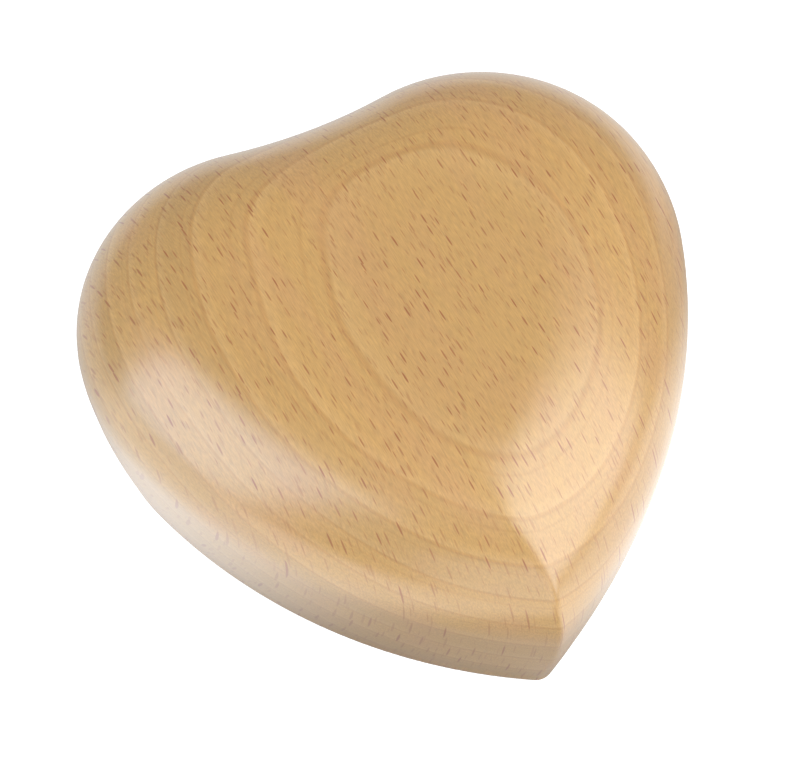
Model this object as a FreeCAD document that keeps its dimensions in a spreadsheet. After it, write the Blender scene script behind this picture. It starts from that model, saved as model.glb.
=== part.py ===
import FreeCAD, Part
import math
import os
import re

import Sketcher
from FreeCAD import Placement, Rotation, Vector

# Wind-up music box: a routed beech heart that hides an 18-note movement, wound by a key in its underside.
# Millimetres. Z is up, the tip of the heart points to -Y, the origin is under the middle of the case.

doc = FreeCAD.newDocument("music_box")
sizes = doc.addObject("Spreadsheet::Sheet", "sizes")
places = doc.addObject("Spreadsheet::Sheet", "places")

# Driving dimensions of the wooden case and its cover
CASE_SIZES = {
    "cleft_radius": 90,
    "cleft_turn": 9,
    "lobe_radius": 33,
    "lobe_turn": 90,
    "side_radius": 40,
    "side_turn": 27,
    "flank_radius": 100,
    "tip_round": 1.4,
    "tip_easing": 0.3,
    "case_height": 46,
    "belt_height": 27,
    "shoulder_width": 24.5,
    "foot_inset": 4.2,
    "foot_round": 3,
    "roof_thickness": 8,
    "recess_depth": 10,
    "recess_offset": 7,
    "mouth_chamfer": 0.8,
    "plate_thickness": 3,
    "plate_clearance": 0.2,
    "ledge_width": 3,
    "cavity_margin": 1,
    "cavity_corner": 8,
    "wood_screw_radius": 1.2,
    "wood_screw_head": 2.4,
    "wood_screw_length": 12,
    "pilot_spare": 0.5,
    "cross_length": 2.4,
    "cross_width": 0.5,
    "cross_depth": 0.6,
    "cut_overrun": 1,
}

# Driving dimensions of the movement
MOVEMENT_SIZES = {
    "bed_thickness": 2,
    "bed_edge": 1,
    "bed_corner": 7,
    "running_clearance": 0.05,
    "side_clearance": 0.3,
    "housing_height": 6,
    "housing_wall": 0.8,
    "cap_thickness": 0.8,
    "spring_thickness": 0.3,
    "spring_coils": 8,
    "spring_width": 4.8,
    "arbor_radius": 1.5,
    "collar_radius": 3,
    "main_module": 0.5,
    "crown_teeth": 44,
    "crown_face": 1,
    "wheel_thickness": 1,
    "ratchet_radius": 4.6,
    "ratchet_depth": 0.7,
    "ratchet_teeth": 16,
    "ratchet_thickness": 0.8,
    "click_reach": 3,
    "click_swing": 7.5,
    "click_boss": 1.3,
    "click_nose": 0.9,
    "click_back": 1.9,
    "click_belly": 0.5,
    "click_bite": 0.12,
    "click_lead": 0.1,
    "click_post_radius": 0.6,
    "click_post_head": 1.1,
    "click_head_height": 0.4,
    "click_spring_reach": 2.3,
    "click_spring_overlap": 0.6,
    "click_spring_thickness": 0.24,
    "clip_radius": 2.6,
    "clip_thickness": 0.6,
    "arbor_spare": 0.5,
    "key_span": 22,
    "key_height": 7,
    "key_thickness": 1.8,
    "key_hub_radius": 2.8,
    "key_gap": 0.8,
    "key_floor": 1.5,
    "key_hole_margin": 1,
    "cylinder_teeth": 24,
    "cylinder_radius": 6.5,
    "cylinder_wall": 0.6,
    "cylinder_margin": 0.6,
    "cylinder_arbor_radius": 0.9,
    "note_count": 18,
    "note_pitch": 0.95,
    "pin_radius": 0.2,
    "pin_height": 0.45,
    "pluck_gap": 0.1,
    "bridge_thickness": 1.2,
    "bridge_width": 6,
    "bridge_foot": 5,
    "bridge_gap": 0.6,
    "bridge_crest": 2.5,
    "arbor_end": 0.3,
    "comb_thickness": 1.2,
    "comb_slot": 0.2,
    "comb_tooth_length": 14,
    "comb_base_length": 9,
    "screw_radius": 1,
    "screw_head_radius": 1.7,
    "screw_head_height": 1,
    "movement_screw_radius": 1.4,
    "movement_screw_head": 2.7,
    "movement_head_height": 1.6,
    "movement_slot": 0.7,
    "movement_screw_inset": 3.5,
    "screw_slot": 0.5,
    "screw_setback": 0.2,
    "comb_screw_grip": 6,
}

# Driving dimensions of the governor
GOVERNOR_SIZES = {
    "fine_module": 0.4,
    "first_pinion_teeth": 12,
    "first_wheel_teeth": 30,
    "second_pinion_teeth": 10,
    "second_lean": 29,
    "worm_wheel_teeth": 20,
    "worm_wheel_face": 1.6,
    "worm_radius": 1.6,
    "worm_turns": 5,
    "pivot_radius": 0.6,
    "frame_thickness": 1,
    "frame_gap": 0.5,
    "frame_crest": 2,
    "frame_flank": 3,
    "frame_heel": 4,
    "frame_lug": 2.2,
    "post_width": 5,
    "arm_nose": 1.5,
    "lug_step": 0.5,
    "pivot_end": 0.2,
    "fan_radius": 5.2,
    "fan_height": 6,
    "fan_thickness": 0.4,
    "fan_hub_radius": 1.3,
    "fan_gap": 0.6,
}

# Levels and positions that follow from the driving dimensions, counted from the underside or the key axis
WORKED = {
    "bed_bottom": "recess_depth + plate_thickness",
    "bed_top": "bed_bottom + bed_thickness",
    "cap_bottom": "bed_top + housing_height",
    "wheel_bottom": "cap_bottom + cap_thickness + side_clearance",
    "wheel_top": "wheel_bottom + wheel_thickness",
    "pitch_level": "wheel_top + 1.25 * main_module",
    "crown_radius": "main_module * crown_teeth / 2",
    "wheel_radius": "crown_radius + crown_face / 2",
    "housing_radius": "wheel_radius",
    "ratchet_bottom": "wheel_top + side_clearance / 2",
    "ratchet_top": "ratchet_bottom + ratchet_thickness",
    "arbor_top": "ratchet_top + side_clearance + clip_thickness",
    "cylinder_level": "pitch_level + main_module * cylinder_teeth / 2",
    "left_bridge_at": "wheel_radius + bridge_gap",
    "cylinder_start": "left_bridge_at + bridge_thickness + bridge_gap",
    "notes_width": "note_count * note_pitch",
    "notes_start": "cylinder_start + cylinder_margin",
    "cylinder_length": "notes_width + 2 * cylinder_margin",
    "right_bridge_at": "cylinder_start + cylinder_length + bridge_gap",
    "comb_tip": "cylinder_radius + pin_height + pluck_gap",
    "comb_root": "comb_tip + comb_tooth_length",
    "comb_end": "comb_root + comb_base_length",
    "comb_bottom": "cylinder_level - comb_thickness / 2",
    "bed_left": "-(housing_radius + bed_edge)",
    "bed_right": "right_bridge_at + bridge_thickness + bed_edge",
    "bed_back": "housing_radius + bed_edge",
    "bed_front": "-(comb_end + bed_edge)",
    "bed_width": "bed_right - bed_left",
    "bed_depth": "bed_back - bed_front",
    "cavity_width": "bed_width + 2 * cavity_margin",
    "cavity_depth": "bed_depth + 2 * cavity_margin",
    "corner_reach": "sqrt((cavity_width / 2 - cavity_corner)^2 + (cavity_depth / 2 - cavity_corner)^2)",
    "plate_radius": "corner_reach + cavity_corner + ledge_width",
    "recess_radius": "plate_radius + plate_clearance",
    "key_x": "-(bed_left + bed_right) / 2",
    "key_y": "recess_offset - (bed_front + bed_back) / 2",
    "first_level": "pitch_level + main_module * first_pinion_teeth / 2",
    "train_distance": "fine_module * (first_wheel_teeth + second_pinion_teeth) / 2",
    "second_x": "train_distance * cos(second_lean)",
    "second_level": "first_level - train_distance * sin(second_lean)",
    "rear_frame": "-(wheel_radius + frame_gap + frame_thickness)",
    "wheel_lane": "rear_frame - frame_gap - frame_thickness",
    "middle_frame": "wheel_lane - frame_gap - frame_thickness",
    "worm_wheel_radius": "main_module * worm_wheel_teeth / 2",
    "worm_x": "second_x - worm_wheel_radius - worm_radius",
    "worm_y": "middle_frame - fan_gap - fan_radius",
    "front_frame": "worm_y - worm_wheel_face / 2 - frame_gap - frame_thickness",
    "worm_pitch": "pi * main_module",
    "worm_bottom": "second_level - worm_turns * worm_pitch / 2",
    "fan_bottom": "second_level + worm_wheel_radius + main_module + fan_gap",
    "fan_top": "fan_bottom + fan_height",
    "arm_bottom": "fan_top + frame_gap",
    "roof_level": "case_height - roof_thickness",
}


def bound(text):
    """Name the sheet of every dimension in an expression."""
    def with_sheet(found):
        word = found[0]
        if word in WORKED:
            return f"places.{word}"
        if word in DRIVING:
            return f"sizes.{word}"
        return word
    return re.sub(r"[a-z][a-z_]+", with_sheet, text)


def fill(sheet, rows):
    """Write one named cell per dimension."""
    for row, (name, text) in enumerate(rows, start=1):
        sheet.set(f"A{row}", name)
        sheet.set(f"B{row}", text)
        sheet.setAlias(f"B{row}", name)


DRIVING = {**CASE_SIZES, **MOVEMENT_SIZES, **GOVERNOR_SIZES}
fill(sizes, [(name, str(value)) for name, value in DRIVING.items()])
fill(places, [(name, "=" + bound(text)) for name, text in WORKED.items()])
doc.recompute()


def mm(name):
    """Present value of a dimension."""
    sheet = places if name in WORKED else sizes
    return float(sheet.get(name))


ALONG_X = Rotation(Vector(0, 1, 0), 90)
ALONG_Y = Rotation(Vector(1, 0, 0), -90)
ALONG_Z = Rotation()
nodes = []


def place(piece, at, turn=ALONG_Z):
    """Turn a piece and bind its position, counted from the middle of the underside."""
    piece.Placement = Placement(Vector(), turn)
    for axis, text in zip("xyz", at):
        piece.setExpression(f"Placement.Base.{axis}", bound(text))
    return piece


def in_movement(x, y, z):
    """A position counted from the key axis, as seen from the middle of the case."""
    return (f"key_x + {x}", f"key_y + {y}", z)


def node(piece, name):
    """Give a finished piece its name."""
    piece.Label = name
    nodes.append(piece)
    return piece


def rod(radius, length, at, turn=ALONG_Z):
    """Cylinder that starts at a point and runs along the turned Z axis."""
    piece = doc.addObject("Part::Cylinder", "rod")
    piece.setExpression("Radius", bound(radius))
    piece.setExpression("Height", bound(length))
    return place(piece, at, turn)


def cone(start_radius, end_radius, length, at):
    """Upright cone."""
    piece = doc.addObject("Part::Cone", "cone")
    piece.setExpression("Radius1", bound(start_radius))
    piece.setExpression("Radius2", bound(end_radius))
    piece.setExpression("Height", bound(length))
    return place(piece, at)


def block(width, depth, height, at):
    """Box from its low corner."""
    piece = doc.addObject("Part::Box", "block")
    piece.setExpression("Length", bound(width))
    piece.setExpression("Width", bound(depth))
    piece.setExpression("Height", bound(height))
    return place(piece, at)


def fuse(pieces):
    """One solid from several that touch."""
    whole = doc.addObject("Part::MultiFuse", "joined")
    whole.Shapes = pieces
    whole.Refine = True
    return whole


def cut(base, tools):
    """Take one or more tools out of a piece."""
    rest = doc.addObject("Part::Cut", "cut")
    rest.Base = base
    rest.Tool = tools[0] if len(tools) == 1 else fuse(tools)
    return rest


def group(pieces):
    """Separate solids that share one node."""
    whole = doc.addObject("Part::Compound", "group")
    whole.Links = pieces
    return whole


def formed(shape, at, turn=ALONG_Z):
    """Piece whose outline follows a formula."""
    piece = doc.addObject("Part::Feature", "formed")
    piece.Shape = shape
    return place(piece, at, turn)


def polar(radius, angle, z=0.0):
    """Point at a radius and an angle in radians."""
    return Vector(radius * math.cos(angle), radius * math.sin(angle), z)


def new_body(at, turn=ALONG_Z):
    """Sketch-based piece."""
    return place(doc.addObject("PartDesign::Body", "body"), at, turn)


def sketch_on(body, plane, level="0"):
    """Empty sketch on a base plane of a body, lifted by a level."""
    sketch = body.newObject("Sketcher::SketchObject", "sketch")
    base = [part for part in body.Origin.OriginFeatures if part.Role == plane]
    sketch.AttachmentSupport = [(base[0], "")]
    sketch.MapMode = "FlatFace"
    sketch.setExpression("AttachmentOffset.Base.z", bound(level))
    return sketch


def bind(sketch, constraint, text):
    """Add a constraint and tie its value to a dimension."""
    index = sketch.addConstraint(constraint)
    sketch.setExpression(f"Constraints[{index}]", bound(text))


def sketch_circle(sketch, x, y, radius):
    """Circle with a bound centre and radius."""
    index = sketch.addGeometry(Part.Circle(Vector(1, 1, 0), Vector(0, 0, 1), 1), False)
    bind(sketch, Sketcher.Constraint("Radius", index, 1), radius)
    bind(sketch, Sketcher.Constraint("DistanceX", -1, 1, index, 3, 1), x)
    bind(sketch, Sketcher.Constraint("DistanceY", -1, 1, index, 3, 1), y)


def sketch_outline(sketch, corners):
    """Closed outline of straight lines with bound corners."""
    points = [Vector(k, k * k, 0) for k in range(len(corners))]
    count = len(corners)
    for k in range(count):
        sketch.addGeometry(Part.LineSegment(points[k], points[(k + 1) % count]), False)
    for k in range(count):
        sketch.addConstraint(Sketcher.Constraint("Coincident", k, 2, (k + 1) % count, 1))
    for k, (x, y) in enumerate(corners):
        bind(sketch, Sketcher.Constraint("DistanceX", -1, 1, k, 1, 1), x)
        bind(sketch, Sketcher.Constraint("DistanceY", -1, 1, k, 1, 1), y)


def rectangle(left, front, width, depth):
    """Corners of a rectangle for a sketch."""
    right = f"{left} + {width}"
    back = f"{front} + {depth}"
    return [(left, front), (right, front), (right, back), (left, back)]


def pad(body, sketch, length, both_ways=False):
    """Raise a sketch by a bound length."""
    feature = body.newObject("PartDesign::Pad", "pad")
    feature.Profile = sketch
    feature.setExpression("Length", bound(length))
    feature.Midplane = both_ways
    sketch.Visibility = False
    return feature


def pocket(body, sketch, length):
    """Sink a sketch by a bound length."""
    feature = body.newObject("PartDesign::Pocket", "pocket")
    feature.Profile = sketch
    feature.setExpression("Length", bound(length))
    sketch.Visibility = False
    return feature


def upright_edges(shape):
    """Names of the straight edges of a shape that run along Z."""
    found = []
    for k, edge in enumerate(shape.Edges, start=1):
        ends = [vertex.Point for vertex in edge.Vertexes]
        if len(ends) == 2 and (ends[1] - ends[0]).cross(Vector(0, 0, 1)).Length < 1e-6:
            found.append(f"Edge{k}")
    return found


def round_edges(body, feature, radius):
    """Round the upright edges of a feature."""
    doc.recompute()
    rounding = body.newObject("PartDesign::Fillet", "rounding")
    rounding.Base = (feature, upright_edges(feature.Shape))
    rounding.setExpression("Radius", bound(radius))
    return rounding


# Outline of the heart: one shallow cleft arc, two lobe arcs, two side arcs, two flank arcs and a rounded tip.
# An inward offset keeps all arc centres and only changes the radii, the tip round grows with the offset.

def heart_arcs():
    """Centres and joints of the right half, before the outline is moved to its middle."""
    at = Vector(0, 0, 0)
    heading = 0.0
    arcs = []
    turns = [
        ("cleft_radius", math.radians(mm("cleft_turn")), 1),
        ("lobe_radius", -math.radians(mm("lobe_turn")), -1),
        ("side_radius", -math.radians(mm("side_turn")), -1),
        ("flank_radius", None, -1),
    ]
    for name, turn, hand in turns:
        radius = mm(name)
        centre = at + Vector(-math.sin(heading), math.cos(heading), 0) * (hand * radius)
        arcs.append((centre, radius, hand))
        if turn is not None:
            heading += turn
            at = centre + Vector(math.sin(heading), -math.cos(heading), 0) * (hand * radius)
    return arcs


def between(first, second):
    """Unit direction from one point to another."""
    return (second - first).normalize()


def heart_wire(offset, level):
    """Closed heart outline, drawn in by an offset."""
    arcs = heart_arcs()
    cleft, lobe, side, flank = [centre for centre, _, _ in arcs]
    cleft_r, lobe_r, side_r, flank_r = [radius + hand * offset for _, radius, hand in arcs]
    tip_r = mm("tip_round") + mm("tip_easing") * offset
    tip_y = flank.y - math.sqrt((flank_r - tip_r) ** 2 - flank.x ** 2)
    tip = Vector(0, tip_y, 0)
    joints = [
        cleft + between(cleft, lobe) * cleft_r,
        lobe + between(side, lobe) * lobe_r,
        side + between(flank, side) * side_r,
        tip + between(flank, tip) * tip_r,
    ]
    lift = Vector(0, -heart_middle(), level)
    mids = [
        Vector(0, cleft.y - cleft_r, 0),
        arc_middle(lobe, lobe_r, joints[0], joints[1]),
        arc_middle(side, side_r, joints[1], joints[2]),
        arc_middle(flank, flank_r, joints[2], joints[3]),
        Vector(0, tip_y - tip_r, 0),
    ]
    mirrored = [Vector(-point.x, point.y, 0) for point in joints]
    left_mids = [Vector(-point.x, point.y, 0) for point in mids]
    path = [
        (mirrored[0], mids[0], joints[0]),
        (joints[0], mids[1], joints[1]),
        (joints[1], mids[2], joints[2]),
        (joints[2], mids[3], joints[3]),
        (joints[3], mids[4], mirrored[3]),
        (mirrored[3], left_mids[3], mirrored[2]),
        (mirrored[2], left_mids[2], mirrored[1]),
        (mirrored[1], left_mids[1], mirrored[0]),
    ]
    edges = [Part.Arc(a + lift, b + lift, c + lift).toShape() for a, b, c in path]
    return Part.Wire(edges)


def arc_middle(centre, radius, start, end):
    """Middle point of the shorter arc between two points."""
    return centre + ((start - centre).normalize() + (end - centre).normalize()).normalize() * radius


def heart_middle():
    """Height of the middle of the outline above the cleft, along Y."""
    cleft, lobe, side, flank = heart_arcs()
    top = lobe[0].y + lobe[1]
    tip_r = mm("tip_round")
    bottom = flank[0].y - math.sqrt((flank[1] - tip_r) ** 2 - flank[0].x ** 2) - tip_r
    return (top + bottom) / 2


def case_profile():
    """Offsets and levels from the foot over the wall to the flat of the dome."""
    foot, inset = mm("foot_round"), mm("foot_inset")
    belt, top, shoulder = mm("belt_height"), mm("case_height"), mm("shoulder_width")
    profile = []
    for k in range(4):
        angle = math.radians(30 * k)
        profile.append((inset + foot * (1 - math.sin(angle)), foot * (1 - math.cos(angle))))
    for k in range(1, 5):
        share = k / 5
        profile.append((inset * (1 - share) ** 1.5, foot + (belt - foot) * share))
    for k in range(10):
        angle = math.radians(10 * k)
        profile.append((shoulder * (1 - math.cos(angle)), belt + (top - belt) * math.sin(angle)))
    return profile


# Case: a beech block shaped outside, with a round recess and a pocket routed from below
heart_blank = formed(Part.makeLoft([heart_wire(*step) for step in case_profile()], True), ("0", "0", "0"))
recess = rod("recess_radius", "bed_bottom + cut_overrun", ("0", "recess_offset", "-cut_overrun"))
mouth = cone("recess_radius + 2 * mouth_chamfer", "recess_radius", "2 * mouth_chamfer",
             ("0", "recess_offset", "-mouth_chamfer"))
cavity = new_body(("0", "recess_offset", "bed_bottom - cut_overrun"))
cavity_sketch = sketch_on(cavity, "XY_Plane")
sketch_outline(cavity_sketch,
               rectangle("-cavity_width / 2", "-cavity_depth / 2", "cavity_width", "cavity_depth"))
cavity_pad = pad(cavity, cavity_sketch, "roof_level - bed_bottom + cut_overrun")
round_edges(cavity, cavity_pad, "cavity_corner")

ledge_spots = [
    ("(cavity_width / 2 + plate_radius) / 2", "0"),
    ("0", "(cavity_depth / 2 + plate_radius) / 2"),
    ("-(cavity_width / 2 + plate_radius) / 2", "0"),
    ("0", "-(cavity_depth / 2 + plate_radius) / 2"),
]
pilots = [rod("wood_screw_radius", "wood_screw_length + pilot_spare",
              (x, f"recess_offset + {y}", "recess_depth")) for x, y in ledge_spots]
node(cut(heart_blank, [recess, mouth, cavity] + pilots), "heart_case")

# Cover: a round plywood plate that closes the pocket and carries the movement
movement_spots = [
    ("bed_right - movement_screw_inset", "bed_back - movement_screw_inset"),
    ("bed_right - movement_screw_inset", "bed_front + movement_screw_inset"),
    ("bed_left + movement_screw_inset", "bed_front + movement_screw_inset"),
]
base_plate = new_body(("0", "recess_offset", "recess_depth"))
plate_sketch = sketch_on(base_plate, "XY_Plane")
sketch_circle(plate_sketch, "0", "0", "plate_radius")
sketch_circle(plate_sketch, "key_x", "key_y - recess_offset", "collar_radius + key_hole_margin")
for x, y in ledge_spots:
    sketch_circle(plate_sketch, x, y, "wood_screw_radius")
for x, y in movement_spots:
    sketch_circle(plate_sketch, f"key_x + {x}", f"key_y - recess_offset + {y}", "movement_screw_radius")
pad(base_plate, plate_sketch, "plate_thickness")
sinks = [cone("wood_screw_head", "wood_screw_radius", "wood_screw_head - wood_screw_radius",
              (x, f"recess_offset + {y}", "recess_depth")) for x, y in ledge_spots]
node(cut(base_plate, sinks), "base_plate")


def wood_screw(x, y):
    """Countersunk screw with a cross recess, driven up into the ledge."""
    head = cone("wood_screw_head", "wood_screw_radius", "wood_screw_head - wood_screw_radius",
                (x, f"recess_offset + {y}", "recess_depth"))
    shank = rod("wood_screw_radius", "wood_screw_length", (x, f"recess_offset + {y}", "recess_depth"))
    slot_a = block("cross_length", "cross_width", "cross_depth",
                   (f"{x} - cross_length / 2", f"recess_offset + {y} - cross_width / 2", "recess_depth"))
    slot_b = block("cross_width", "cross_length", "cross_depth",
                   (f"{x} - cross_width / 2", f"recess_offset + {y} - cross_length / 2", "recess_depth"))
    return cut(fuse([head, shank]), [slot_a, slot_b])


def movement_screw(x, y):
    """Slotted pan-head screw that holds the bedplate through the cover."""
    head_bottom = "recess_depth - movement_head_height"
    head = rod("movement_screw_head", "movement_head_height", in_movement(x, y, head_bottom))
    shank = rod("movement_screw_radius", "plate_thickness + bed_thickness - screw_setback",
                in_movement(x, y, "recess_depth"))
    slot = block("2 * movement_screw_head", "movement_slot", "movement_slot",
                 in_movement(f"{x} - movement_screw_head", f"{y} - movement_slot / 2", head_bottom))
    return cut(fuse([head, shank]), [slot])


node(group([wood_screw(x, y) for x, y in ledge_spots]), "base_plate_screws")
node(group([movement_screw(x, y) for x, y in movement_spots]), "movement_screws")

# Bedplate: die-cast plate under the whole movement
bridge_spots = [
    ("left_bridge_at + bridge_thickness + bridge_foot / 2", "0"),
    ("right_bridge_at - bridge_foot / 2", "0"),
]
governor_spots = [
    ("-fan_radius", "middle_frame - frame_lug"),
    ("-fan_radius", "worm_y - lug_step"),
]
bedplate = new_body(in_movement("0", "0", "bed_bottom"))
bed_sketch = sketch_on(bedplate, "XY_Plane")
sketch_outline(bed_sketch, rectangle("bed_left", "bed_front", "bed_width", "bed_depth"))
bed_pad = pad(bedplate, bed_sketch, "bed_thickness")
round_edges(bedplate, bed_pad, "bed_corner")
hole_sketch = sketch_on(bedplate, "XY_Plane", "bed_thickness")
sketch_circle(hole_sketch, "0", "0", "arbor_radius + running_clearance")
for x, y in movement_spots:
    sketch_circle(hole_sketch, x, y, "movement_screw_radius")
for x, y in bridge_spots + governor_spots:
    sketch_circle(hole_sketch, x, y, "screw_radius")
pocket(bedplate, hole_sketch, "bed_thickness")
node(bedplate, "bedplate")

# Spring housing, its cap and the mainspring coiled inside
drum = rod("housing_radius", "housing_height", in_movement("0", "0", "bed_top"))
drum_bore = rod("housing_radius - housing_wall", "housing_height", in_movement("0", "0", "bed_top"))
node(cut(drum, [drum_bore]), "spring_housing")
cap = rod("housing_radius", "cap_thickness", in_movement("0", "0", "cap_bottom"))
cap_bore = rod("arbor_radius + running_clearance", "cap_thickness", in_movement("0", "0", "cap_bottom"))
node(cut(cap, [cap_bore]), "spring_cap")


def spring_shape():
    """Mainspring between the arbor collar and the drum wall."""
    inner = mm("collar_radius") + 2 * mm("running_clearance")
    outer = mm("housing_radius") - mm("housing_wall") - mm("running_clearance")
    thickness = mm("spring_thickness")
    halves = int(round(2 * mm("spring_coils")))
    step = (outer - inner - thickness) / (halves + 1)
    near, far = [], []
    for k in range(halves):
        side = 1 if k % 2 == 0 else -1
        centre = Vector(step * (k % 2), 0, 0)
        radius = inner + step * k
        for edges, reach in ((near, radius), (far, radius + thickness)):
            points = [centre + polar(reach, math.radians(turn)) * side for turn in (0, 90, 180)]
            edges.append(Part.Arc(*points).toShape())
    begin = Part.makeLine(far[0].Vertexes[0].Point, near[0].Vertexes[0].Point)
    finish = Part.makeLine(near[-1].Vertexes[-1].Point, far[-1].Vertexes[-1].Point)
    strip = Part.Face(Part.Wire(Part.__sortEdges__(near + far + [begin, finish])))
    print(f"mainspring: gap between coils {2 * step - thickness:.2f} mm")
    return strip.extrude(Vector(0, 0, mm("spring_width")))


spring_bottom = "bed_top + (housing_height - spring_width) / 2"
node(formed(spring_shape(), in_movement("0", "0", spring_bottom)), "mainspring")

# Winding arbor with its spring collar, the retaining clip and the butterfly key
arbor_foot = "recess_depth - key_gap - key_height"
arbor_rod = rod("arbor_radius", f"arbor_top + arbor_spare - ({arbor_foot}) - key_floor",
                in_movement("0", "0", f"{arbor_foot} + key_floor"))
collar = rod("collar_radius", "housing_height - 2 * side_clearance",
             in_movement("0", "0", "bed_top + side_clearance"))
node(fuse([arbor_rod, collar]), "winding_arbor")
clip = rod("clip_radius", "clip_thickness", in_movement("0", "0", "ratchet_top + side_clearance / 2"))
clip_bore = rod("arbor_radius", "clip_thickness", in_movement("0", "0", "ratchet_top + side_clearance / 2"))
node(cut(clip, [clip_bore]), "arbor_clip")

winding_key = new_body(in_movement("0", "0", arbor_foot))
wing_sketch = sketch_on(winding_key, "XZ_Plane")
sketch_outline(wing_sketch, [
    ("-key_span / 2", "key_height * 0.12"),
    ("-key_span * 0.44", "0"),
    ("-key_span * 0.2", "key_height * 0.06"),
    ("key_span * 0.2", "key_height * 0.06"),
    ("key_span * 0.44", "0"),
    ("key_span / 2", "key_height * 0.12"),
    ("key_span / 2", "key_height * 0.7"),
    ("key_span * 0.43", "key_height * 0.88"),
    ("key_span * 0.2", "key_height * 0.72"),
    ("-key_span * 0.2", "key_height * 0.72"),
    ("-key_span * 0.43", "key_height * 0.88"),
    ("-key_span / 2", "key_height * 0.7"),
])
pad(winding_key, wing_sketch, "key_thickness", both_ways=True)
hub_sketch = sketch_on(winding_key, "XY_Plane")
sketch_circle(hub_sketch, "0", "0", "key_hub_radius")
pad(winding_key, hub_sketch, "key_height")
bore_sketch = sketch_on(winding_key, "XY_Plane", "key_height")
sketch_circle(bore_sketch, "0", "0", "arbor_radius")
pocket(winding_key, bore_sketch, "key_height - key_floor")
node(winding_key, "winding_key")


# Teeth: involute flanks as arcs through three points, thinned for backlash
PRESSURE = math.radians(20)
BACKLASH = 0.24


def gear_wire(teeth, module, turn=0.0, level=0.0):
    """Closed outline of a spur gear with a tooth centred at the turn angle."""
    teeth = int(round(teeth))
    pitch = module * teeth / 2
    base = pitch * math.cos(PRESSURE)
    tip = pitch + module
    root = pitch - 1.25 * module
    half = math.pi / (2 * teeth) - BACKLASH * module / (2 * pitch)

    def flank(radius):
        slope = math.acos(min(1.0, base / radius))
        return half + math.tan(PRESSURE) - PRESSURE - math.tan(slope) + slope

    start = max(base, root)
    middle = (start + tip) / 2
    edges = []
    for k in range(teeth):
        angle = turn + 2 * math.pi * k / teeth
        following = angle + 2 * math.pi / teeth
        rise = [polar(r, angle - flank(r), level) for r in (start, middle, tip)]
        fall = [polar(r, angle + flank(r), level) for r in (tip, middle, start)]
        foot_in = polar(root, angle - flank(start), level)
        foot_out = polar(root, angle + flank(start), level)
        next_foot = polar(root, following - flank(start), level)
        if root < start:
            edges.append(Part.makeLine(foot_in, rise[0]))
        edges.append(Part.Arc(*rise).toShape())
        edges.append(Part.Arc(rise[2], polar(tip, angle, level), fall[0]).toShape())
        edges.append(Part.Arc(*fall).toShape())
        if root < start:
            edges.append(Part.makeLine(fall[2], foot_out))
        valley = polar(root, (angle + following) / 2, level)
        edges.append(Part.Arc(foot_out, valley, next_foot).toShape())
    return Part.Wire(edges)


def gear(teeth, module, face, bore, turn=0.0):
    """Spur gear that stands on the XY plane."""
    blank = Part.Face(gear_wire(teeth, module, turn)).extrude(Vector(0, 0, face))
    return blank.cut(Part.makeCylinder(bore, face))


def crown_wheel():
    """Disc with radial teeth on its upper face."""
    module, teeth = mm("main_module"), int(round(mm("crown_teeth")))
    thickness = mm("wheel_thickness")
    disc = Part.makeCylinder(mm("wheel_radius"), thickness)
    disc = disc.cut(Part.makeCylinder(mm("arbor_radius") + mm("running_clearance"), thickness))
    inner = mm("crown_radius") - mm("crown_face") / 2
    reach = mm("crown_face") * 0.92
    foot = math.pi * module / 4 - BACKLASH * module / 2 + 1.25 * module * math.tan(PRESSURE)
    crest = math.pi * module / 4 - BACKLASH * module / 2 - module * math.tan(PRESSURE)
    height = 2.25 * module
    section = Part.makePolygon([
        Vector(inner, -foot, thickness - 0.1),
        Vector(inner, foot, thickness - 0.1),
        Vector(inner, foot, thickness),
        Vector(inner, crest, thickness + height),
        Vector(inner, -crest, thickness + height),
        Vector(inner, -foot, thickness),
        Vector(inner, -foot, thickness - 0.1),
    ])
    tooth = Part.Face(section).extrude(Vector(reach, 0, 0))
    ring = []
    for k in range(teeth):
        copy = tooth.copy()
        copy.rotate(Vector(), Vector(0, 0, 1), 360 * k / teeth)
        ring.append(copy)
    return disc.multiFuse(ring).removeSplitter()


node(formed(crown_wheel(), in_movement("0", "0", "wheel_bottom")), "great_wheel")


# Ratchet on the arbor, and the click on the great wheel, drawn lifted just clear of the teeth
def ratchet_shape():
    """Saw-tooth wheel that slips when wound and locks when the spring pulls back."""
    count = int(round(mm("ratchet_teeth")))
    tip, root = mm("ratchet_radius"), mm("ratchet_radius") - mm("ratchet_depth")
    pitch = 2 * math.pi / count
    points = []
    for k in range(count):
        points += [polar(tip, k * pitch), polar(root, (k + 1) * pitch)]
    outline = Part.makePolygon(points + points[:1])
    blank = Part.Face(outline).extrude(Vector(0, 0, mm("ratchet_thickness")))
    return blank.cut(Part.makeCylinder(mm("arbor_radius"), mm("ratchet_thickness")))


def click_pivot():
    """Place of the click post on the great wheel."""
    return polar(mm("ratchet_radius") + mm("click_reach"), math.radians(-60))


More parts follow.
